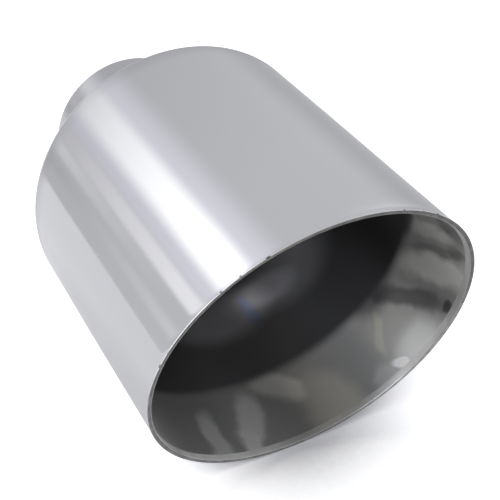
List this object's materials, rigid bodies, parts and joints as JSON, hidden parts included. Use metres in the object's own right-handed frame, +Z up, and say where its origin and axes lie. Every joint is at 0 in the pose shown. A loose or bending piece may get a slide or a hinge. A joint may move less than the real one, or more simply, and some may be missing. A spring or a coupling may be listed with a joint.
{
  "type": "exhaust tip",
  "caption": "Slant-cut exhaust tip: a wide polished steel tube, open at the outlet, that steps down through a sloped shoulder to a slip-on inlet neck.",
  "frame": {"origin": "centre of the inlet mouth, on the common axis of neck and body", "axes": "+Y along the axis and out of the inlet, towards the tail pipe; the outlet faces -Y; +Z up, through the long side of the slanted outlet; +X to the right seen from the outlet"},
  "size_m": [0.1016, 0.1516, 0.1016],
  "materials": {
    "polished_steel": "mirror-polished stainless steel sheet, with the saw-cut face of the outlet left dull"
  },
  "bodies": {
    "root": {"tip_shell": "polished_steel"}
  },
  "joints": []
}
